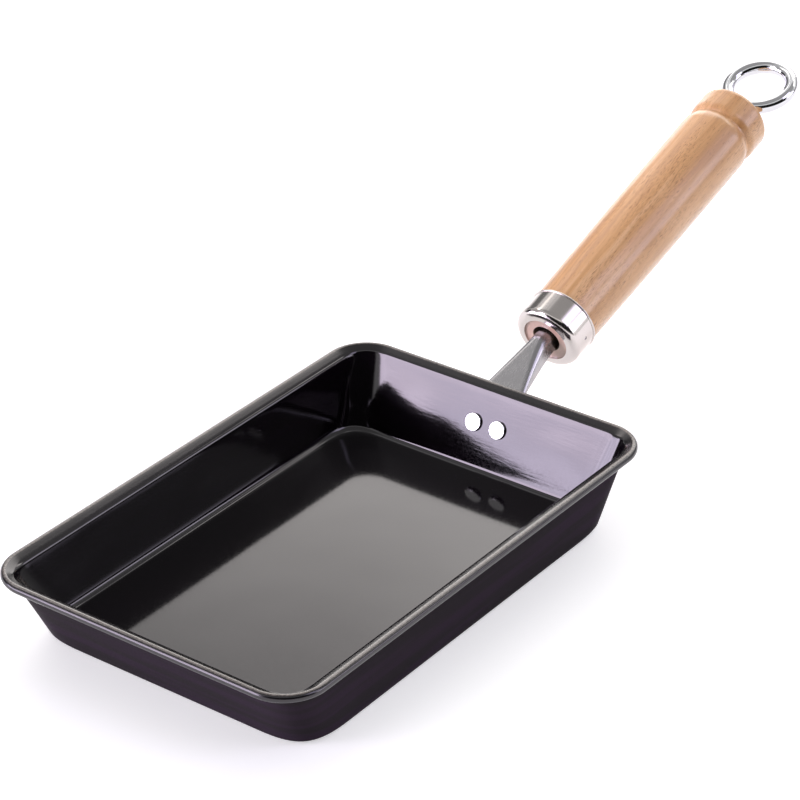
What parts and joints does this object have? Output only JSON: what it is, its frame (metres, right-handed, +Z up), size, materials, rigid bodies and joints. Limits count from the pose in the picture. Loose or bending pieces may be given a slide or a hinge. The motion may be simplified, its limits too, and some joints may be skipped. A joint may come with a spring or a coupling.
{
  "type": "tamagoyaki pan",
  "caption": "Rectangular steel omelette pan with sloping rim flange, riveted bracket, ferruled wooden handle and a hanging ring.",
  "frame": {"origin": "centre of the pan's flat underside, on the face it rests on", "axes": "+Z up, +Y from the pan towards the handle, +X to the right seen from the near end"},
  "size_m": [0.14, 0.416, 0.0957],
  "materials": {
    "coated_steel": "glossy black-blue baked coating",
    "bracket_steel": "satin plated",
    "rivet_metal": "satin",
    "nut_steel": "zinc plated",
    "washer_steel": "zinc plated",
    "ferrule_plate": "polished nickel plate",
    "beech": "clear satin lacquer",
    "ring_chrome": "polished chrome plate"
  },
  "bodies": {
    "pan": {"pan_body": "coated_steel", "handle_bracket": "bracket_steel", "rivet_left": "rivet_metal", "rivet_right": "rivet_metal", "bracket_nut": "nut_steel", "ferrule": "ferrule_plate", "wood_handle": "beech", "end_washer": "washer_steel"},
    "bolt": {"hanging_bolt": "ring_chrome"}
  },
  "joints": [
    {"name": "bolt_turn", "type": "hinge", "parent": "pan", "child": "bolt", "pos_m": [0, 0.1079, 0.02805], "axis": [0, 0.9511, 0.309], "continuous": true}
  ]
}
